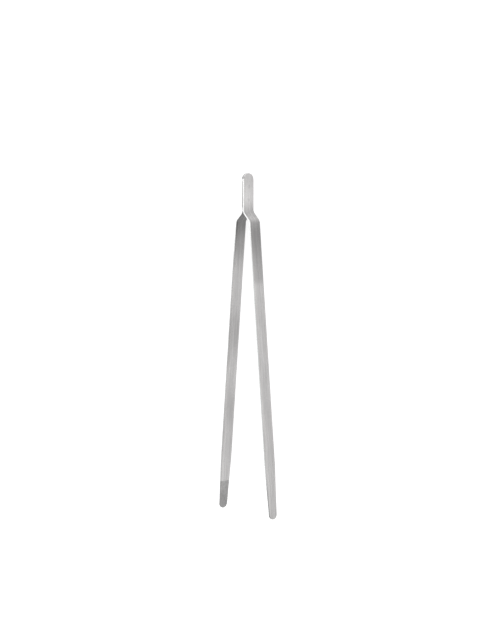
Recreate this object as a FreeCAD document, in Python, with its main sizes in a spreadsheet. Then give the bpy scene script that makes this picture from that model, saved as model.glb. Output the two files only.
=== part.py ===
"""Stamp tongs: two bent spring-steel strips, laid face to face and spot-welded at the head.

+Y runs along the tongs towards the head, +X is the way the right arm opens, and +Z runs across the
strips.  The origin is at the middle of the bottom, so the tongs rest on the strips' lower edges at z = 0.
Each strip is made of two objects, the bent head and the straight arm.  They meet square to the arm at
the flexure, where the strip bends when the tongs are squeezed.
"""

import math
import os

import FreeCAD
import Part
import Sketcher

os.makedirs("parts", exist_ok=True)
doc = FreeCAD.newDocument("StampTongs")

# Every driving size, in millimetres and degrees.
SIZES = {
    "overall_length": 155.0,
    "strip_width": 6.0,
    "strip_thick": 0.8,
    "edge_round": 0.12,
    "bend_radius": 2.6,  # of the middle of the strip
    "bend_one_drop": 16.3,  # head top to the centre of the first bend
    "bend_two_drop": 22.5,  # head top to the centre of the second bend
    "bend_two_inset": 1.95,  # middle plane to the centre of the second bend
    "arm_splay": 5.2,  # of each arm, from the length axis
    "flexure_drop": 39.0,  # head top to the middle of the flexure
    "taper_length": 24.5,
    "tip_width": 4.5,
    "groove_count": 20,
    "groove_pitch": 0.6,
    "groove_width": 0.36,
    "groove_depth": 0.14,
    "last_groove": 1.2,  # tip to the nearest groove
    "weld_radius": 1.2,
    "weld_thick": 0.3,
    "weld_one_drop": 6.0,
    "weld_two_drop": 12.0,
}

sheet = doc.addObject("Spreadsheet::Sheet", "Sizes")
for row, (name, value) in enumerate(SIZES.items(), start=1):
    sheet.set("A%d" % row, name)
    sheet.set("B%d" % row, str(value))
    sheet.setAlias("B%d" % row, name)
doc.recompute()

# Expressions used by more than one object.
HALF = "Sizes.overall_length / 2"
SPLAY = "Sizes.arm_splay"
FLEXURE_Y = HALF + " - Sizes.flexure_drop"
FLEXURE_X = (
    "Sizes.bend_two_inset"
    " + (Sizes.bend_radius - Sizes.strip_thick / 2) / cos(" + SPLAY + ")"
    " + (Sizes.flexure_drop - Sizes.bend_two_drop) * tan(" + SPLAY + ")"
)
ARM_LENGTH = "(Sizes.overall_length - Sizes.flexure_drop) / cos(" + SPLAY + ")"
BIG_RADIUS = "Sizes.bend_radius + Sizes.strip_thick / 2"
SMALL_RADIUS = "Sizes.bend_radius - Sizes.strip_thick / 2"

# The same places as numbers, to start the sketches near their solved shapes.
half_length = SIZES["overall_length"] / 2
width = SIZES["strip_width"]
thick = SIZES["strip_thick"]
splay = math.radians(SIZES["arm_splay"])
big_radius = SIZES["bend_radius"] + thick / 2
small_radius = SIZES["bend_radius"] - thick / 2
centre_one = (big_radius, half_length - SIZES["bend_one_drop"])
centre_two = (SIZES["bend_two_inset"], half_length - SIZES["bend_two_drop"])
flexure_y = half_length - SIZES["flexure_drop"]
flexure_x = centre_two[0] + small_radius / math.cos(splay)
flexure_x += (SIZES["flexure_drop"] - SIZES["bend_two_drop"]) * math.tan(splay)
arm_length = (SIZES["overall_length"] - SIZES["flexure_drop"]) / math.cos(splay)
tip_radius = SIZES["tip_width"] / 2

# The shoulder is the inner tangent of the two bends.  This is the direction square to it, from the first
# bend's centre towards the shoulder.
run_x = centre_two[0] - centre_one[0]
run_y = centre_two[1] - centre_one[1]
square = math.atan2(run_y, run_x) - math.acos(2 * SIZES["bend_radius"] / math.hypot(run_x, run_y))
shoulder_x, shoulder_y = math.cos(square), math.sin(square)

def origin_plane(body, role):
    """The named plane of a body's own origin."""
    for feature in body.Origin.OriginFeatures:
        if feature.Role == role:
            return feature
    raise ValueError(role)


def new_sketch(body, name, role):
    """A sketch on one of the body's own origin planes."""
    sketch = body.newObject("Sketcher::SketchObject", name)
    sketch.AttachmentSupport = [(origin_plane(body, role), "")]
    sketch.MapMode = "FlatFace"
    return sketch


def bound(sketch, name, expression, *constraint):
    """A dimension bound to the spreadsheet.  Its starting value is the last item of the constraint."""
    index = sketch.addConstraint(Sketcher.Constraint(*constraint))
    sketch.renameConstraint(index, name)
    sketch.setExpression("Constraints." + name, expression)


def relate(sketch, *constraint):
    """A geometric constraint without a size."""
    sketch.addConstraint(Sketcher.Constraint(*constraint))


def add_line(sketch, start, end):
    line = Part.LineSegment(FreeCAD.Vector(*start, 0), FreeCAD.Vector(*end, 0))
    return sketch.addGeometry(line, False)


def add_arc(sketch, centre, start, end):
    """An arc the short way from start to end.  Returns its index and which end is which."""
    ax, ay = start[0] - centre[0], start[1] - centre[1]
    bx, by = end[0] - centre[0], end[1] - centre[1]
    forward = ax * by - ay * bx > 0
    first, last = (math.atan2(ay, ax), math.atan2(by, bx))
    if not forward:
        first, last = last, first
    circle = Part.Circle(FreeCAD.Vector(*centre, 0), FreeCAD.Vector(0, 0, 1), math.hypot(ax, ay))
    index = sketch.addGeometry(Part.ArcOfCircle(circle, first, last), False)
    return (index, 1, 2) if forward else (index, 2, 1)


def distance(sketch, name, expression, axis, low, high, value):
    """A bound distance along X or Y from the lower point to the higher one."""
    bound(sketch, name, expression, "Distance" + axis, *low, *high, value)


ORIGIN = (-1, 1)


def face_points(side, inner):
    """The corners and tangent points along one face of the bent head, from the top down."""
    first_radius = big_radius if inner else small_radius
    second_radius = small_radius if inner else big_radius
    depth = 0.0 if inner else thick
    points = [
        (depth, half_length),
        (depth, centre_one[1]),
        (centre_one[0] + first_radius * shoulder_x, centre_one[1] + first_radius * shoulder_y),
        (centre_two[0] - second_radius * shoulder_x, centre_two[1] - second_radius * shoulder_y),
        (centre_two[0] + second_radius * math.cos(splay), centre_two[1] + second_radius * math.sin(splay)),
        (flexure_x + depth * math.cos(splay), flexure_y + depth * math.sin(splay)),
    ]
    return [(side * x, y) for x, y in points]


def draw_face(sketch, side, inner):
    """One face of the bent head: straight, bend, shoulder, bend, straight.  Returns its five edges."""
    top, a, b, c, d, bottom = face_points(side, inner)
    straight = add_line(sketch, top, a)
    bend_one = add_arc(sketch, (side * centre_one[0], centre_one[1]), a, b)
    shoulder = add_line(sketch, b, c)
    bend_two = add_arc(sketch, (side * centre_two[0], centre_two[1]), c, d)
    lower = add_line(sketch, d, bottom)
    relate(sketch, "Tangent", straight, 2, bend_one[0], bend_one[1])
    relate(sketch, "Tangent", bend_one[0], bend_one[2], shoulder, 1)
    relate(sketch, "Tangent", shoulder, 2, bend_two[0], bend_two[1])
    relate(sketch, "Tangent", bend_two[0], bend_two[2], lower, 1)
    relate(sketch, "Vertical", straight)
    name = "inner" if inner else "outer"
    radii = (BIG_RADIUS, SMALL_RADIUS) if inner else (SMALL_RADIUS, BIG_RADIUS)
    values = (big_radius, small_radius) if inner else (small_radius, big_radius)
    bound(sketch, name + "_bend_one", radii[0], "Radius", bend_one[0], values[0])
    bound(sketch, name + "_bend_two", radii[1], "Radius", bend_two[0], values[1])
    return straight, bend_one[0], shoulder, bend_two[0], lower


def distance_out(sketch, name, expression, side, low, high, value):
    """A bound distance away from the middle plane, on either side of it."""
    if side > 0:
        distance(sketch, name, expression, "X", low, high, value)
    else:
        distance(sketch, name, expression, "X", high, low, value)


def draw_head_profile(body, name, side):
    """The closed side view of the bent head, one strip thick."""
    sketch = new_sketch(body, name + "_profile", "XY_Plane")
    inner = draw_face(sketch, side, True)
    outer = draw_face(sketch, side, False)
    inner_points = face_points(side, True)
    outer_points = face_points(side, False)
    top = add_line(sketch, inner_points[0], outer_points[0])
    cut = add_line(sketch, inner_points[-1], outer_points[-1])
    relate(sketch, "Coincident", top, 1, inner[0], 1)
    relate(sketch, "Coincident", top, 2, outer[0], 1)
    relate(sketch, "Coincident", cut, 1, inner[4], 2)
    relate(sketch, "Coincident", cut, 2, outer[4], 2)
    relate(sketch, "Coincident", inner[1], 3, outer[1], 3)
    relate(sketch, "Coincident", inner[3], 3, outer[3], 3)
    relate(sketch, "Horizontal", top)
    relate(sketch, "PointOnObject", inner[0], 1, -2)
    relate(sketch, "Parallel", inner[4], outer[4])
    relate(sketch, "Perpendicular", cut, inner[4])
    distance(sketch, "head_top", HALF, "Y", ORIGIN, (inner[0], 1), half_length)
    one = HALF + " - Sizes.bend_one_drop"
    two = HALF + " - Sizes.bend_two_drop"
    distance(sketch, "bend_one_y", one, "Y", ORIGIN, (inner[1], 3), centre_one[1])
    distance(sketch, "bend_two_y", two, "Y", ORIGIN, (inner[3], 3), centre_two[1])
    inset = "Sizes.bend_two_inset"
    distance_out(sketch, "bend_two_x", inset, side, ORIGIN, (inner[3], 3), centre_two[0])
    distance(sketch, "flexure_y", FLEXURE_Y, "Y", ORIGIN, (inner[4], 2), flexure_y)
    drop = math.hypot(inner_points[4][0] - inner_points[5][0], inner_points[4][1] - inner_points[5][1])
    bound(
        sketch,
        "lower_length",
        "(Sizes.flexure_drop - Sizes.bend_two_drop + (" + SMALL_RADIUS + ") * sin(" + SPLAY + "))"
        " / cos(" + SPLAY + ")",
        "Distance",
        inner[4],
        drop,
    )
    return sketch


def draw_head_end(body, name):
    """The waste outside the half-round top of the head, seen across the strips."""
    sketch = new_sketch(body, name + "_round_top", "YZ_Plane")
    radius = width / 2
    start = half_length - radius
    margin = 1.0
    right = half_length + margin
    corners = [
        (start, 0),
        (start, -margin),
        (right, -margin),
        (right, width + margin),
        (start, width + margin),
        (start, width),
    ]
    lines = [add_line(sketch, a, b) for a, b in zip(corners, corners[1:])]
    circle = Part.Circle(FreeCAD.Vector(start, radius, 0), FreeCAD.Vector(0, 0, 1), radius)
    arc = sketch.addGeometry(Part.ArcOfCircle(circle, -math.pi / 2, math.pi / 2), False)
    for before, after in zip(lines, lines[1:]):
        relate(sketch, "Coincident", before, 2, after, 1)
    relate(sketch, "Coincident", lines[0], 1, arc, 1)
    relate(sketch, "Coincident", lines[4], 2, arc, 2)
    for line, way in zip(lines, ("Vertical", "Horizontal", "Vertical", "Horizontal", "Vertical")):
        relate(sketch, way, line)
    relate(sketch, "Vertical", arc, 1, arc, 3)
    relate(sketch, "Equal", lines[0], lines[4])
    bound(sketch, "end_radius", "Sizes.strip_width / 2", "Radius", arc, radius)
    distance(sketch, "centre_z", "Sizes.strip_width / 2", "Y", ORIGIN, (arc, 3), radius)
    distance(sketch, "centre_y", HALF + " - Sizes.strip_width / 2", "X", ORIGIN, (arc, 3), start)
    bound(sketch, "margin_z", "1", "Distance", lines[0], margin)
    bound(sketch, "margin_y", "Sizes.strip_width / 2 + 1", "Distance", lines[1], radius + margin)
    return sketch


def draw_welds(body, name):
    """Two round spots on the middle plane, one below the other."""
    sketch = new_sketch(body, name + "_spots", "YZ_Plane")
    for label in ("weld_one", "weld_two"):
        y = half_length - SIZES[label + "_drop"]
        circle = Part.Circle(FreeCAD.Vector(y, width / 2, 0), FreeCAD.Vector(0, 0, 1), SIZES["weld_radius"])
        spot = sketch.addGeometry(circle, False)
        bound(sketch, label + "_radius", "Sizes.weld_radius", "Radius", spot, SIZES["weld_radius"])
        drop = HALF + " - Sizes." + label + "_drop"
        distance(sketch, label + "_y", drop, "X", ORIGIN, (spot, 3), y)
        distance(sketch, label + "_z", "Sizes.strip_width / 2", "Y", ORIGIN, (spot, 3), width / 2)
    return sketch


def draw_arm_outline(body, name):
    """The flat arm: parallel, then tapering to a rounded tip.  It starts at the flexure."""
    sketch = new_sketch(body, name + "_outline", "YZ_Plane")
    taper_start = -(arm_length - SIZES["taper_length"])
    centre = (-(arm_length - tip_radius), width / 2)
    reach = math.hypot(taper_start - centre[0], width / 2)
    lean = math.acos(tip_radius / reach)
    up = math.atan2(width / 2, taper_start - centre[0]) + lean
    touch = (centre[0] + tip_radius * math.cos(up), centre[1] + tip_radius * math.sin(up))
    mirror = (touch[0], width - touch[1])
    root = add_line(sketch, (0, 0), (0, width))
    top = add_line(sketch, (0, width), (taper_start, width))
    taper_top = add_line(sketch, (taper_start, width), touch)
    arc = sketch.addGeometry(
        Part.ArcOfCircle(
            Part.Circle(FreeCAD.Vector(*centre, 0), FreeCAD.Vector(0, 0, 1), tip_radius), up, 2 * math.pi - up
        ),
        False,
    )
    taper_bottom = add_line(sketch, mirror, (taper_start, 0))
    bottom = add_line(sketch, (taper_start, 0), (0, 0))
    relate(sketch, "Coincident", root, 1, *ORIGIN)
    relate(sketch, "Coincident", root, 2, top, 1)
    relate(sketch, "Coincident", top, 2, taper_top, 1)
    relate(sketch, "Tangent", taper_top, 2, arc, 1)
    relate(sketch, "Tangent", arc, 2, taper_bottom, 1)
    relate(sketch, "Coincident", taper_bottom, 2, bottom, 1)
    relate(sketch, "Coincident", bottom, 2, root, 1)
    relate(sketch, "Vertical", root)
    relate(sketch, "Horizontal", top)
    relate(sketch, "Horizontal", bottom)
    relate(sketch, "Equal", top, bottom)
    straight = ARM_LENGTH + " - Sizes.taper_length"
    bound(sketch, "strip_width", "Sizes.strip_width", "Distance", root, width)
    bound(sketch, "straight_length", straight, "Distance", top, -taper_start)
    bound(sketch, "tip_radius", "Sizes.tip_width / 2", "Radius", arc, tip_radius)
    distance(sketch, "tip_z", "Sizes.strip_width / 2", "Y", ORIGIN, (arc, 3), centre[1])
    reach_tip = ARM_LENGTH + " - Sizes.tip_width / 2"
    distance(sketch, "tip_y", reach_tip, "X", (arc, 3), ORIGIN, -centre[0])
    return sketch


def draw_groove(body, name, side):
    """The V of the groove nearest the tip, in the arm's inner face."""
    sketch = new_sketch(body, name + "_groove", "XY_Plane")
    half = SIZES["groove_width"] / 2
    depth = SIZES["groove_depth"]
    y = -(arm_length - SIZES["last_groove"])
    low, deep, high = (0, y - half), (side * depth, y), (0, y + half)
    mouth = add_line(sketch, high, low)
    lower = add_line(sketch, low, deep)
    upper = add_line(sketch, deep, high)
    relate(sketch, "Coincident", mouth, 2, lower, 1)
    relate(sketch, "Coincident", lower, 2, upper, 1)
    relate(sketch, "Coincident", upper, 2, mouth, 1)
    relate(sketch, "PointOnObject", mouth, 1, -2)
    relate(sketch, "Vertical", mouth)
    relate(sketch, "Equal", lower, upper)
    bound(sketch, "groove_width", "Sizes.groove_width", "Distance", mouth, 2 * half)
    distance_out(sketch, "groove_depth", "Sizes.groove_depth", side, ORIGIN, (lower, 2), depth)
    place = ARM_LENGTH + " - Sizes.last_groove"
    distance(sketch, "groove_y", place, "Y", (lower, 2), ORIGIN, -y)
    return sketch


def new_body(name):
    body = doc.addObject("PartDesign::Body", name)
    body.Label = name
    return body


def add_pad(body, name, sketch, expression, turned=False, both_ways=False):
    pad = body.newObject("PartDesign::Pad", name)
    pad.Profile = sketch
    pad.Reversed = turned
    pad.Midplane = both_ways
    pad.setExpression("Length", expression)
    sketch.Visibility = False
    doc.recompute()
    return pad


def add_pocket(body, name, sketch, expression=None, turned=False):
    """A pocket of the given depth, or right through both ways, which must remove material."""
    before = body.Shape.Volume
    pocket = body.newObject("PartDesign::Pocket", name)
    pocket.Profile = sketch
    if expression is None:
        pocket.Type = "ThroughAll"
        pocket.Midplane = True
    else:
        pocket.Type = "Length"
        pocket.Reversed = turned
        pocket.setExpression("Length", expression)
    sketch.Visibility = False
    doc.recompute()
    assert body.Shape.Volume < before - 1e-6, name + " removed nothing"
    return pocket


def round_edges(body, name, base, wanted):
    """Round off the edges that the test picks."""
    edges = ["Edge%d" % n for n, edge in enumerate(base.Shape.Edges, start=1) if wanted(edge)]
    fillet = body.newObject("PartDesign::Fillet", name)
    fillet.Base = (base, edges)
    fillet.setExpression("Radius", "Sizes.edge_round")
    doc.recompute()
    return fillet


def middle(edge):
    return edge.valueAt((edge.FirstParameter + edge.LastParameter) / 2)


def make_head(name, side):
    """The bent upper part of one strip: flat against the other strip, then out over the shoulder."""
    body = new_body(name)
    add_pad(body, name + "_blank", draw_head_profile(body, name, side), "Sizes.strip_width")
    rounded = add_pocket(body, name + "_top", draw_head_end(body, name))
    cut = face_points(side, True)[5]
    cut_end = face_points(side, False)[5]

    def wanted(edge):
        """The long edges of both faces and the rim of the round top, but nothing where the arm meets."""
        spot = middle(edge)
        on_top = spot.y > half_length - width / 2 + 1e-4
        on_face = min(abs(spot.x), abs(spot.x - side * thick)) < 1e-4
        on_side = min(abs(spot.z), abs(spot.z - width)) < 1e-4
        across = (spot.x - cut[0]) * (cut_end[1] - cut[1]) - (spot.y - cut[1]) * (cut_end[0] - cut[0])
        return abs(across) > 1e-3 and (on_face if on_top else on_side)

    round_edges(body, name + "_edges", rounded, wanted)
    add_pocket(
        body, name + "_weld_seats", draw_welds(body, name), "Sizes.weld_thick / 2", turned=side > 0
    )
    return body


def make_arm(name, side):
    """The straight lower part of one strip, built flat and then splayed about the flexure."""
    body = new_body(name)
    outline = draw_arm_outline(body, name)
    blank = add_pad(body, name + "_blank", outline, "Sizes.strip_thick", turned=side < 0)

    def wanted(edge):
        """The edges of both faces, except where the head meets."""
        spot = middle(edge)
        on_face = min(abs(spot.x), abs(spot.x - side * thick)) < 1e-4
        return on_face and spot.y < -1e-4

    round_edges(body, name + "_edges", blank, wanted)
    groove = add_pocket(body, name + "_first_groove", draw_groove(body, name, side))
    before = body.Shape.Volume
    pattern = body.newObject("PartDesign::LinearPattern", name + "_grooves")
    pattern.Originals = [groove]
    pattern.Direction = (origin_plane(body, "Y_Axis"), [""])
    pattern.setExpression("Length", "(Sizes.groove_count - 1) * Sizes.groove_pitch")
    pattern.setExpression("Occurrences", "Sizes.groove_count")
    body.Tip = pattern
    doc.recompute()
    assert body.Shape.Volume < before - 1e-6, name + " grooves removed nothing"
    body.Placement = FreeCAD.Placement(
        FreeCAD.Vector(0, 0, 0), FreeCAD.Rotation(FreeCAD.Vector(0, 0, side), SIZES["arm_splay"])
    )
    sign = "" if side > 0 else "-"
    body.setExpression("Placement.Base.x", sign + "(" + FLEXURE_X + ")")
    body.setExpression("Placement.Base.y", FLEXURE_Y)
    return body


def make_welds(name):
    """The two spot welds that join the strips, half in each of them."""
    body = new_body(name)
    add_pad(body, name + "_nuggets", draw_welds(body, name), "Sizes.weld_thick", both_ways=True)
    return body


parts = [
    make_head("left_blade_head", -1),
    make_head("right_blade_head", 1),
    make_arm("left_blade_arm", -1),
    make_arm("right_blade_arm", 1),
    make_welds("spot_welds"),
]
doc.recompute()

for item in doc.Objects:
    bad = {"Invalid", "Error"} & set(item.State)
    assert not bad, item.Name + " is " + str(sorted(bad))
for body in parts:
    shape = body.Shape
    assert not shape.isNull() and shape.isValid(), body.Label + " has a bad shape"
    assert len(shape.Solids) == 1 or body.Label == "spot_welds", body.Label + " is in pieces"
    shape.exportStep("parts/" + body.Label + ".step")
    box = shape.BoundBox
    print(body.Label, round(shape.Volume, 3), [round(v, 3) for v in (box.XMin, box.XMax)], end=" ")
    print([round(v, 3) for v in (box.YMin, box.YMax, box.ZMin, box.ZMax)])
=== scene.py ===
"""Looks for the stamp tongs: two brushed-steel blades on a white studio floor.

Lengths are in metres in the row frame: +Y towards the welded head, +X the way the right arm opens, and
+Z across the strips, which lie on their lower edges at z = 0.
"""

import itertools
import math

import bmesh
import bpy
from mathutils import Matrix, Vector


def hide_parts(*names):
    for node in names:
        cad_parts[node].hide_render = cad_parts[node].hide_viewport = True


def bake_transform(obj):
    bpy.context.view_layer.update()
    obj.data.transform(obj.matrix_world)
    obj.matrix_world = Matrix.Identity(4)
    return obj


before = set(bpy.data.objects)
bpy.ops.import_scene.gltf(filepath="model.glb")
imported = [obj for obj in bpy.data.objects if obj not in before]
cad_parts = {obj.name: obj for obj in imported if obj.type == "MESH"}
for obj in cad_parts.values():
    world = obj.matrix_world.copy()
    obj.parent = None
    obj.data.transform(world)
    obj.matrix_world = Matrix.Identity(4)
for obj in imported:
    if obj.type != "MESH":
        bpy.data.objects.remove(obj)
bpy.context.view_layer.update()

MM = 0.001
WIDTH = 6.0 * MM
THICK = 0.8 * MM
ROUND = 0.12 * MM
LENGTH = 155.0 * MM
BEND_RADIUS = 2.6 * MM
BEND_ONE_DROP = 16.3 * MM
BEND_TWO_DROP = 22.5 * MM
BEND_TWO_INSET = 1.95 * MM
SPLAY = math.radians(5.2)
FLEXURE_DROP = 39.0 * MM
TAPER = 24.5 * MM
TIP_RADIUS = 2.25 * MM
GROOVES = 20
GROOVE_PITCH = 0.6 * MM
GROOVE_WIDTH = 0.36 * MM
GROOVE_DEPTH = 0.14 * MM
LAST_GROOVE = 1.2 * MM
WELD_DROPS = (6.0 * MM, 12.0 * MM)  # from the head's top to each weld mark

# How finely the mesh is cut.
EDGE_STEPS = 3  # round each edge, on each side
HEAD_STEPS = 16  # round each quarter of the head
TIP_STEPS = 12  # from the last groove to the middle of the tip
BEND_STEP = 0.18 * MM
HEAD_STEP = 1.5 * MM
SHOULDER_STEP = 0.6 * MM
ARM_STEP = 1.0 * MM
# Cross lines of one groove, as (distance from its bottom in groove widths, share of its depth).
GROOVE_LINES = ((-0.5, 0.0), (-0.44, 0.12), (-0.06, 0.97), (0.06, 0.97), (0.44, 0.12), (0.5, 0.0))

# Rubbed edges with a painted highlight on them.  The lower edges, and most of the left blade's, get less of
# both than the right blade's upper edge.
LOWER_EDGE_HIGHLIGHT_AND_WEAR = 0.12
# (millimetres from the head's top, share of the right blade's edge rubbing and painted highlight)
LEFT_HIGHLIGHT_AND_WEAR = (
    (0.0, 0.0), (0.9, 0.3), (1.5, 1.0), (3.0, 0.9), (4.0, 0.25), (16.2, 0.25), (16.3, 1.0), (32.0, 1.0),
    (44.0, 0.2),
)

# The finish, with painted shade and highlight along the strip.  The flat map's unit is a tenth of a metre,
# and the tones below are in it.
MAP_UNIT = 100 * MM
STEEL_DARK = 0.45
STEEL_LIGHT = 0.66
GRIP_SHADE = 0.7  # how far the grip's colour, a darker matt grey with painted shade in its pits, covers the steel's
WELD_MARK = (0.0095, 0.006)  # distances from a weld mark's middle where it begins and is deepest
# Noise scales along the strip, across it, and in the flat map's unused direction.
FINE_GRAIN = (14.0, 2600.0, 1.0)
STREAKS = (9.0, 420.0, 1.0)
BANDS = (4.0, 70.0, 1.0)
SMUDGES = (16.0, 26.0, 1.0)
NICKS = (150.0, 900.0, 1.0)
GRIP_MOTTLE = (70.0, 210.0, 1.0)
TONE_END = 1.6  # just past the strip's length
# How light the steel's colour is along the strip, from the head's top, as (flat map position, level): partly
# uneven brushing and partly painted shade and highlight.  The head is brightest, a painted highlight lies on
# the shoulder with painted shade in the crease below it and down the neck, the inner faces, which face each
# other, carry deeper painted shade and uneven brushing, and both darken towards the tips.
OUTER_SHADE_AND_TONE = (
    (0.0, 0.80), (0.115, 0.98), (0.18, 0.72), (0.216, 0.80), (0.24, 0.50), (0.27, 0.44), (0.48, 0.62),
    (0.525, 0.79), (1.5, 0.79), (1.56, 0.72),
)
INNER_SHADE_AND_TONE = (
    (0.0, 0.80), (0.18, 0.33), (0.24, 0.38), (0.33, 0.56), (0.48, 0.80), (0.60, 0.79), (0.74, 0.66),
    (0.93, 0.83), (1.11, 0.72), (1.22, 0.79), (1.44, 0.82), (1.57, 0.68),
)
# The edges' colour along the strip: a painted highlight on the rounded edges, partly rubbed steel, with
# painted shade at the head's top and dimmer towards the tips.
EDGE_HIGHLIGHT_TONE = (
    (0.0, 0.42), (0.012, 0.84), (0.16, 0.84), (0.24, 0.84), (0.32, 0.66), (0.62, 0.58), (1.32, 0.54),
    (1.47, 0.34),
)

# The studio.
FLOOR_SIZE = 6.0
FLOOR_DROP = 0.1 * MM
FLOOR_GLOW = 0.72
SKY_LEVEL = 0.36  # overhead
HORIZON_LEVEL = 1.02
SKY_FADE = (0.30, 0.60)  # the heights between which the horizon's white fades, where straight up is 1
LENS = 97.6
SENSOR = 36.0
CAMERA_AWAY = 0.766
CAMERA_AIM = Vector((0.0, 14.5 * MM, 1.5 * MM))
CAMERA_TOWARDS_X = math.radians(46.4)  # from straight above
CAMERA_TOWARDS_Y = math.radians(6.4)


# --- the strip's path, seen from the edge ---------------------------------------------------------


def bend_path():
    """The middle of the right strip as (length, start, heading, turn radius) pieces, from the head's top.

    Heading 0 runs straight down the length axis, and a positive heading leans outwards.
    """
    one = Vector((THICK / 2 + BEND_RADIUS, LENGTH / 2 - BEND_ONE_DROP))
    two = Vector((BEND_TWO_INSET, LENGTH / 2 - BEND_TWO_DROP))
    run = two - one
    shoulder = math.atan2(run.x, -run.y) + math.asin(2 * BEND_RADIUS / run.length)
    shoulder_length = math.sqrt(run.length_squared - 4 * BEND_RADIUS**2)
    start = Vector((THICK / 2, LENGTH / 2))
    pieces = [(BEND_ONE_DROP, start, 0.0, 0.0)]
    where = start + Vector((0, -BEND_ONE_DROP))
    pieces.append((BEND_RADIUS * shoulder, where, 0.0, BEND_RADIUS))
    where = one + BEND_RADIUS * Vector((-math.cos(shoulder), -math.sin(shoulder)))
    pieces.append((shoulder_length, where, shoulder, 0.0))
    where = where + shoulder_length * Vector((math.sin(shoulder), -math.cos(shoulder)))
    pieces.append((BEND_RADIUS * (shoulder - SPLAY), where, shoulder, -BEND_RADIUS))
    where = two + BEND_RADIUS * Vector((math.cos(SPLAY), math.sin(SPLAY)))
    down = (where.y + LENGTH / 2 - THICK / 2 * math.sin(SPLAY)) / math.cos(SPLAY)
    pieces.append((down, where, SPLAY, 0.0))
    return pieces


PATH = bend_path()
STRIP_LENGTH = sum(piece[0] for piece in PATH)


def on_path(along):
    """(point, outward direction) of the strip's middle, that far from the head's top."""
    rest = along
    for index, (length, start, heading, radius) in enumerate(PATH):
        if rest <= length or index == len(PATH) - 1:
            break
        rest -= length
    if radius:
        turned = heading + rest / radius
        centre = start + radius * Vector((math.cos(heading), math.sin(heading)))
        point = centre - radius * Vector((math.cos(turned), math.sin(turned)))
    else:
        turned = heading
        point = start + rest * Vector((math.sin(heading), -math.cos(heading)))
    return point, Vector((math.cos(turned), math.sin(turned)))


# --- the strip's outline, laid flat ---------------------------------------------------------------


def spaced(low, high, step):
    """Evenly spaced values from low to high, both included."""
    count = max(1, round((high - low) / step))
    return [low + (high - low) * n / count for n in range(count + 1)]


def end_angle(beyond, radius):
    """The angle at a round end's centre, from its very end to the flat's rim that far beyond the centre."""
    return math.acos(max(-1.0, min(1.0, beyond / (radius - ROUND))))


def outline_point(along, inset, angle):
    """(distance along, half width) of the flat outline moved inwards by inset.

    The angle places a point on a round end, and is worked out from the distance if it is None.
    """
    head = WIDTH / 2
    to_tip = STRIP_LENGTH - along
    lean = taper_lean()
    touch = TIP_RADIUS * (1 - math.sin(lean))
    if along < head:
        if angle is None:
            angle = end_angle(head - along, head)
        radius = head - inset
        return head - radius * math.cos(angle), radius * math.sin(angle)
    if to_tip > TAPER:
        return along, WIDTH / 2 - inset
    if to_tip > touch:
        edge = TIP_RADIUS * math.cos(lean) + (to_tip - touch) * math.tan(lean)
        return along, edge - inset / math.cos(lean)
    if angle is None:
        angle = end_angle(TIP_RADIUS - to_tip, TIP_RADIUS)
    radius = TIP_RADIUS - inset
    return STRIP_LENGTH - TIP_RADIUS + radius * math.cos(angle), radius * math.sin(angle)


def taper_lean():
    """Half the angle between the taper's two edges, which run into the tip's arc."""
    run = TAPER - TIP_RADIUS
    reach = math.hypot(run, WIDTH / 2)
    return math.atan2(WIDTH / 2, run) - math.asin(TIP_RADIUS / reach)


def stations():
    """(distance along, groove depth share, angle at a round end) for every cross line, head first."""
    found = []
    for n in range(1, HEAD_STEPS + 1):
        angle = math.pi / 2 * n / HEAD_STEPS
        found.append((WIDTH / 2 - (WIDTH / 2 - ROUND) * math.cos(angle), 0.0, angle))
    ends = list(itertools.accumulate(piece[0] for piece in PATH))
    taper = STRIP_LENGTH - TAPER
    grip = STRIP_LENGTH - LAST_GROOVE - GROOVE_PITCH * GROOVES
    stretches = (
        (WIDTH / 2, ends[0], HEAD_STEP),
        (ends[0], ends[1], BEND_STEP),
        (ends[1], ends[2], SHOULDER_STEP),
        (ends[2], ends[3], BEND_STEP),
        (ends[3], taper, ARM_STEP),
        (taper, grip, ARM_STEP),
    )
    for low, high, step in stretches:
        found += [(along, 0.0, None) for along in spaced(low, high, step)[1:]]
    for n in reversed(range(GROOVES)):
        bottom = STRIP_LENGTH - LAST_GROOVE - GROOVE_PITCH * n
        for shift, depth in GROOVE_LINES:
            found.append((bottom + shift * GROOVE_WIDTH, depth, None))
    start = end_angle(TIP_RADIUS - (STRIP_LENGTH - found[-1][0]), TIP_RADIUS)
    for n in range(1, TIP_STEPS):
        angle = start * (1 - n / TIP_STEPS)
        found.append((STRIP_LENGTH - TIP_RADIUS + (TIP_RADIUS - ROUND) * math.cos(angle), 0.0, angle))
    return found


def section(share):
    """(inset, depth from the inner face) round one edge, with that share of a groove's depth cut away."""
    ring = []
    for n in range(EDGE_STEPS + 1):
        turn = math.pi / 2 * n / EDGE_STEPS
        depth = ROUND * (1 - math.cos(turn)) + share * GROOVE_DEPTH
        ring.append((ROUND * (1 - math.sin(turn)), depth))
    for n in range(EDGE_STEPS, -1, -1):
        turn = math.pi / 2 * n / EDGE_STEPS
        ring.append((ROUND * (1 - math.sin(turn)), THICK - ROUND * (1 - math.cos(turn))))
    return ring


def place(side, along, across, depth):
    """A point of the bent strip in the row frame."""
    middle, out = on_path(along)
    spot = middle + (depth - THICK / 2) * out
    return Vector((side * spot.x, spot.y, WIDTH / 2 + across))


def left_highlight_share(along):
    """How much of the right blade's edge rubbing and painted edge highlight the left blade has, that far
    from the head's top.
    """
    for (near, low), (far, high) in zip(LEFT_HIGHLIGHT_AND_WEAR, LEFT_HIGHLIGHT_AND_WEAR[1:]):
        if along < far * MM:
            return low + (high - low) * (along / MM - near) / (far - near)
    return LEFT_HIGHLIGHT_AND_WEAR[-1][1]


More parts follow.
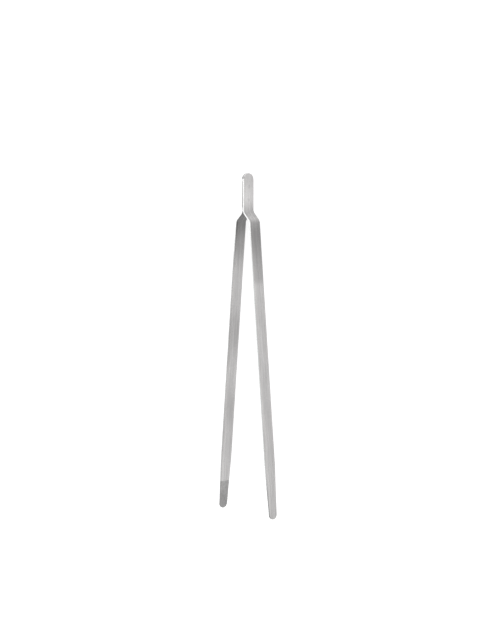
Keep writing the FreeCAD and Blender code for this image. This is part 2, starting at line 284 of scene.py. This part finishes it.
def make_blade(name, side):
    """One whole strip as a closed mesh, with its grooves, three masks and its own flat map."""
    mesh = bpy.data.meshes.new(name)
    bm = bmesh.new()
    edge = bm.verts.layers.float.new("edge_highlight_and_wear")
    grip = bm.verts.layers.float.new("grip_zone")
    inside = bm.verts.layers.float.new("inner_face")
    flat = {}
    grip_start = STRIP_LENGTH - LAST_GROOVE - GROOVE_PITCH * (GROOVES - 0.5)

    def vertex(along, across, depth, inset, inner):
        v = bm.verts.new(place(side, along, across, depth))
        # Each vertex's share of edge rubbing and painted edge highlight, less on the lower edges.
        rim_highlight_and_wear = 1.0 if across > 0 else LOWER_EDGE_HIGHLIGHT_AND_WEAR
        if side < 0:
            rim_highlight_and_wear *= left_highlight_share(along)
        v[edge] = rim_highlight_and_wear * (1.0 - inset / ROUND)
        v[grip] = 1.0 if inner and along > grip_start else 0.0
        v[inside] = 1.0 if inner else 0.0
        flat[v] = (along / MAP_UNIT, across / MAP_UNIT)
        return v

    rows = {1: [], -1: []}
    for along, share, angle in stations():
        for up in (1, -1):
            ring = []
            for n, (inset, depth) in enumerate(section(share)):
                s, half = outline_point(along, inset, angle)
                ring.append(vertex(s, up * half, depth, inset, n <= EDGE_STEPS))
            rows[up].append(ring)
    caps = []
    for at_tip in (False, True):
        ring = []
        for n, (inset, depth) in enumerate(section(0.0)):
            s = STRIP_LENGTH - inset if at_tip else inset
            ring.append(vertex(s, 0.0, depth, inset, n <= EDGE_STEPS))
        caps.append(ring)

    for up in (1, -1):
        loop = [caps[0]] + rows[up] + [caps[1]]
        for here, there in zip(loop, loop[1:]):
            for n in range(len(here) - 1):
                bm.faces.new((here[n], here[n + 1], there[n + 1], there[n]))
    for n in (0, -1):
        upper = [ring[n] for ring in rows[1]]
        lower = [ring[n] for ring in rows[-1]]
        bm.faces.new((caps[0][n], upper[0], lower[0]))
        bm.faces.new((caps[1][n], lower[-1], upper[-1]))
        for k in range(len(upper) - 1):
            bm.faces.new((upper[k], upper[k + 1], lower[k + 1], lower[k]))
    bmesh.ops.recalc_face_normals(bm, faces=bm.faces)
    layer = bm.loops.layers.uv.new("flat_map")
    for face in bm.faces:
        face.smooth = True
        for loop in face.loops:
            loop[layer].uv = flat[loop.vert]
    bm.to_mesh(mesh)
    bm.free()
    blade = bpy.data.objects.new(name, mesh)
    bpy.context.scene.collection.objects.link(blade)
    return blade


# --- materials ------------------------------------------------------------------------------------


class Nodes:
    """Short ways to add and join shader nodes."""

    def __init__(self, name):
        self.material = bpy.data.materials.new(name)
        self.material.use_nodes = True
        self.tree = self.material.node_tree
        self.shader = self.tree.nodes["Principled BSDF"]
        self.seed = 3.0  # where in the noise a material's patterns start

    def add(self, kind, **settings):
        node = self.tree.nodes.new(kind)
        for key, value in settings.items():
            setattr(node, key, value)
        return node

    def put(self, value, socket):
        """A number or another node's output goes into a socket."""
        if isinstance(value, bpy.types.NodeSocket):
            self.tree.links.new(value, socket)
        else:
            socket.default_value = value

    def maths(self, operation, a, b=0.0):
        node = self.add("ShaderNodeMath", operation=operation)
        self.put(a, node.inputs[0])
        self.put(b, node.inputs[1])
        return node.outputs[0]

    def spread(self, value, low, high, to_low=0.0, to_high=1.0):
        """A smooth step from to_low to to_high while the value goes from low to high."""
        node = self.add("ShaderNodeMapRange", interpolation_type="SMOOTHSTEP")
        for number, item in enumerate((value, low, high, to_low, to_high)):
            self.put(item, node.inputs[number])
        return node.outputs[0]

    def noise(self, vector, scale, detail, roughness):
        stretch = self.add("ShaderNodeVectorMath", operation="MULTIPLY")
        self.put(vector, stretch.inputs[0])
        stretch.inputs[1].default_value = scale
        node = self.add("ShaderNodeTexNoise", noise_dimensions="4D")
        self.put(stretch.outputs[0], node.inputs["Vector"])
        self.put(self.seed, node.inputs["W"])
        node.inputs["Scale"].default_value = 1.0
        node.inputs["Detail"].default_value = detail
        node.inputs["Roughness"].default_value = roughness
        return node.outputs["Fac"]

    def mix(self, share, a, b):
        node = self.add("ShaderNodeMix", data_type="RGBA")
        self.put(share, node.inputs[0])
        self.put(a, node.inputs[6])
        self.put(b, node.inputs[7])
        return node.outputs[2]

    def ramp(self, value, stops):
        """A smooth grey curve through (position, level) stops, with positions from 0 to TONE_END."""
        node = self.add("ShaderNodeValToRGB")
        node.color_ramp.interpolation = "EASE"
        self.put(self.maths("DIVIDE", value, TONE_END), node.inputs[0])
        items = node.color_ramp.elements
        while len(items) < len(stops):
            items.new(0.5)
        for item, (position, _) in zip(items, stops):
            item.position = position / TONE_END
        for item, (_, level) in zip(items, stops):
            item.color = (level, level, level, 1.0)
        return node.outputs[0]


def grey(value, warm=0.0):
    """A grey that warm tips slightly towards red."""
    return (value * (1 + warm), value, value * (1 - warm / 4), 1.0)


def brushed_steel():
    """Spring steel brushed along its length, with painted shade and highlight along the strip, rubbed edges
    under a painted highlight, faint marks and a matt grip at the tips with painted shade in its pits.
    """
    n = Nodes("brushed_spring_steel")
    where = n.add("ShaderNodeUVMap", uv_map="flat_map").outputs[0]
    info = n.add("ShaderNodeObjectInfo")
    n.seed = n.maths("MULTIPLY", info.outputs["Random"], 20.0)  # each blade has its own grain
    split = n.add("ShaderNodeSeparateXYZ")
    n.put(where, split.inputs[0])
    along, across = split.outputs[0], split.outputs[1]
    edge = n.add("ShaderNodeAttribute", attribute_name="edge_highlight_and_wear").outputs["Fac"]
    grip = n.add("ShaderNodeAttribute", attribute_name="grip_zone").outputs["Fac"]
    inner = n.add("ShaderNodeAttribute", attribute_name="inner_face").outputs["Fac"]

    fine = n.noise(where, FINE_GRAIN, 3.0, 0.7)
    streak = n.noise(where, STREAKS, 4.0, 0.65)
    band = n.noise(where, BANDS, 2.0, 0.5)
    smudge = n.noise(where, SMUDGES, 3.0, 0.55)
    nick = n.spread(n.noise(where, NICKS, 2.0, 0.5), 0.70, 0.76)
    tone = n.maths("ADD", n.maths("MULTIPLY", streak, 0.5), n.maths("MULTIPLY", fine, 0.2))
    tone = n.maths("ADD", tone, n.maths("MULTIPLY", band, 0.3))
    tone = n.spread(tone, 0.33, 0.67)

    colour = n.mix(tone, grey(STEEL_DARK, 0.018), grey(STEEL_LIGHT, 0.014))
    colour = n.mix(n.maths("MULTIPLY", nick, 0.35), colour, grey(STEEL_DARK * 0.6))
    # In the grip the pits, where its bump dips, are painted darker as shade in them, over a matt grey darker
    # than the steel.
    mottle = n.noise(where, GRIP_MOTTLE, 4.0, 0.7)
    pits, rims = grey(STEEL_DARK * 0.70, 0.01), grey(STEEL_DARK * 1.16, 0.01)
    pitted = n.mix(n.spread(mottle, 0.36, 0.64), pits, rims)
    colour = n.mix(n.maths("MULTIPLY", grip, GRIP_SHADE), colour, pitted)
    # Painted shade and highlight along the strip, with uneven brushing, scale the colour; the inner faces
    # have their own curve.
    shade = n.mix(inner, n.ramp(along, OUTER_SHADE_AND_TONE), n.ramp(along, INNER_SHADE_AND_TONE))
    shaded = n.add("ShaderNodeVectorMath", operation="MULTIPLY")
    n.put(colour, shaded.inputs[0])
    n.put(shade, shaded.inputs[1])
    colour = shaded.outputs[0]
    # The edges take a painted highlight, partly rubbed steel, dimmed in smudges.
    highlight_and_wear_mix = n.maths("MULTIPLY", edge, n.spread(smudge, 0.30, 0.55, 0.88, 1.0))
    colour = n.mix(highlight_and_wear_mix, colour, n.ramp(along, EDGE_HIGHLIGHT_TONE))

    # The two weld marks: shallow dimples pressed into the head, where the blades are welded.
    marks = 0.0
    aside = n.maths("MULTIPLY", across, across)
    for drop in WELD_DROPS:
        down = n.maths("SUBTRACT", along, drop / MAP_UNIT)
        away = n.maths("SQRT", n.maths("ADD", n.maths("MULTIPLY", down, down), aside))
        marks = n.maths("ADD", marks, n.spread(away, *WELD_MARK))
    colour = n.mix(n.maths("MULTIPLY", marks, 0.22), colour, grey(STEEL_DARK * 0.7))
    n.put(colour, n.shader.inputs["Base Color"])

    rough = n.maths("ADD", n.spread(tone, 0.0, 1.0, 0.34, 0.24), n.spread(smudge, 0.35, 0.65, -0.03, 0.05))
    rough = n.maths("ADD", rough, n.maths("MULTIPLY", grip, 0.22))
    rough = n.maths("SUBTRACT", rough, n.maths("MULTIPLY", edge, 0.08))
    n.put(rough, n.shader.inputs["Roughness"])
    n.shader.inputs["Metallic"].default_value = 1.0
    n.shader.inputs["Anisotropic"].default_value = 0.45
    tangent = n.add("ShaderNodeTangent", direction_type="UV_MAP", uv_map="flat_map")
    n.put(tangent.outputs[0], n.shader.inputs["Tangent"])

    height = n.maths("ADD", n.maths("MULTIPLY", fine, 0.5), n.maths("MULTIPLY", streak, 0.5))
    height = n.maths("SUBTRACT", height, n.maths("MULTIPLY", nick, 0.8))
    height = n.maths("SUBTRACT", height, n.maths("MULTIPLY", marks, 2.5))
    height = n.maths("ADD", height, n.maths("MULTIPLY", n.maths("MULTIPLY", grip, mottle), 3.0))
    bump = n.add("ShaderNodeBump")
    bump.inputs["Strength"].default_value = 0.35
    bump.inputs["Distance"].default_value = 0.012 * MM
    n.put(height, bump.inputs["Height"])
    n.put(bump.outputs[0], n.shader.inputs["Normal"])
    return n.material


def weld_metal():
    """Fused steel between the blades, grainy and dull."""
    n = Nodes("weld_metal")
    where = n.add("ShaderNodeTexCoord").outputs["Object"]
    grain = n.noise(where, (2500.0, 2500.0, 2500.0), 5.0, 0.7)
    n.put(n.mix(grain, grey(0.22), grey(0.42, 0.02)), n.shader.inputs["Base Color"])
    n.put(n.spread(grain, 0.3, 0.7, 0.45, 0.7), n.shader.inputs["Roughness"])
    n.shader.inputs["Metallic"].default_value = 1.0
    bump = n.add("ShaderNodeBump")
    bump.inputs["Strength"].default_value = 0.5
    bump.inputs["Distance"].default_value = 0.02 * MM
    n.put(grain, bump.inputs["Height"])
    n.put(bump.outputs[0], n.shader.inputs["Normal"])
    return n.material


def floor_paint():
    """A white light table, bright enough that almost no shadow shows."""
    n = Nodes("white_floor")
    n.shader.inputs["Base Color"].default_value = grey(0.8)
    n.shader.inputs["Roughness"].default_value = 0.9
    n.shader.inputs["Specular IOR Level"].default_value = 0.0
    n.shader.inputs["Emission Color"].default_value = grey(1.0)
    n.shader.inputs["Emission Strength"].default_value = FLOOR_GLOW
    return n.material


# --- the pieces -----------------------------------------------------------------------------------

steel = brushed_steel()
for side, word in ((1, "right"), (-1, "left")):
    blade = make_blade(word + "_blade", side)
    blade.data.materials.append(steel)
    out = BEND_TWO_INSET + (BEND_RADIUS - THICK / 2) / math.cos(SPLAY)
    out += (FLEXURE_DROP - BEND_TWO_DROP) * math.tan(SPLAY)
    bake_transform(blade)
    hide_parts(word + "_blade_head", word + "_blade_arm")

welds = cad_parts["spot_welds"]
welds.data.materials.clear()
welds.data.materials.append(weld_metal())

# --- floor, light and camera ----------------------------------------------------------------------

floor_mesh = bpy.data.meshes.new("floor")
bm = bmesh.new()
bmesh.ops.create_grid(bm, x_segments=8, y_segments=8, size=FLOOR_SIZE)
bm.to_mesh(floor_mesh)
bm.free()
floor = bpy.data.objects.new("floor", floor_mesh)
floor.location = (0, 0, -FLOOR_DROP)
floor_mesh.materials.append(floor_paint())
bpy.context.scene.collection.objects.link(floor)

# The world is white at the horizon, where a low view meets it, and dimmer overhead.
world = bpy.data.worlds.new("studio")
world.use_nodes = True
sky = world.node_tree
direction = sky.nodes.new("ShaderNodeTexCoord")
height = sky.nodes.new("ShaderNodeSeparateXYZ")
fade = sky.nodes.new("ShaderNodeMapRange")
fade.inputs["From Min"].default_value, fade.inputs["From Max"].default_value = SKY_FADE
fade.inputs["To Min"].default_value = HORIZON_LEVEL
fade.inputs["To Max"].default_value = SKY_LEVEL
sky.links.new(direction.outputs["Generated"], height.inputs[0])
sky.links.new(height.outputs[2], fade.inputs[0])
sky.links.new(fade.outputs[0], sky.nodes["Background"].inputs["Strength"])
sky.nodes["Background"].inputs["Color"].default_value = grey(1.0)
bpy.context.scene.world = world


def softbox(name, azimuth, elevation, away, size, strength):
    """A square soft light aimed at the tongs, in degrees, metres and watts.

    Azimuth 0 is on the +X side and 90 on the +Y side.
    """
    lamp = bpy.data.lights.new(name, "AREA")
    lamp.size = size
    lamp.energy = strength
    a, e = math.radians(azimuth), math.radians(elevation)
    back = Vector((math.cos(e) * math.cos(a), math.cos(e) * math.sin(a), math.sin(e)))
    item = bpy.data.objects.new(name, lamp)
    item.location = back * away
    item.rotation_euler = back.to_track_quat("Z", "Y").to_euler()
    bpy.context.scene.collection.objects.link(item)


softbox("sky_light", 190, 50, 1.2, 1.0, 3.2)
softbox("fill_light", 0, 47, 1.3, 1.1, 2.4)

camera_data = bpy.data.cameras.new("camera")
camera_data.lens = LENS
camera_data.sensor_width = SENSOR
camera_data.clip_start = 0.01
camera_data.clip_end = 50.0
camera = bpy.data.objects.new("camera", camera_data)
back = Vector(
    (
        math.cos(CAMERA_TOWARDS_Y) * math.sin(CAMERA_TOWARDS_X),
        math.sin(CAMERA_TOWARDS_Y),
        math.cos(CAMERA_TOWARDS_Y) * math.cos(CAMERA_TOWARDS_X),
    )
)
right = Vector((0, 1, 0)).cross(back).normalized()
up = back.cross(right)
turned = Matrix((right, up, back)).transposed().to_4x4()
camera.matrix_world = Matrix.Translation(CAMERA_AIM + CAMERA_AWAY * back) @ turned
bpy.context.scene.collection.objects.link(camera)
bpy.context.scene.camera = camera
bpy.context.scene.view_settings.view_transform = "Standard"
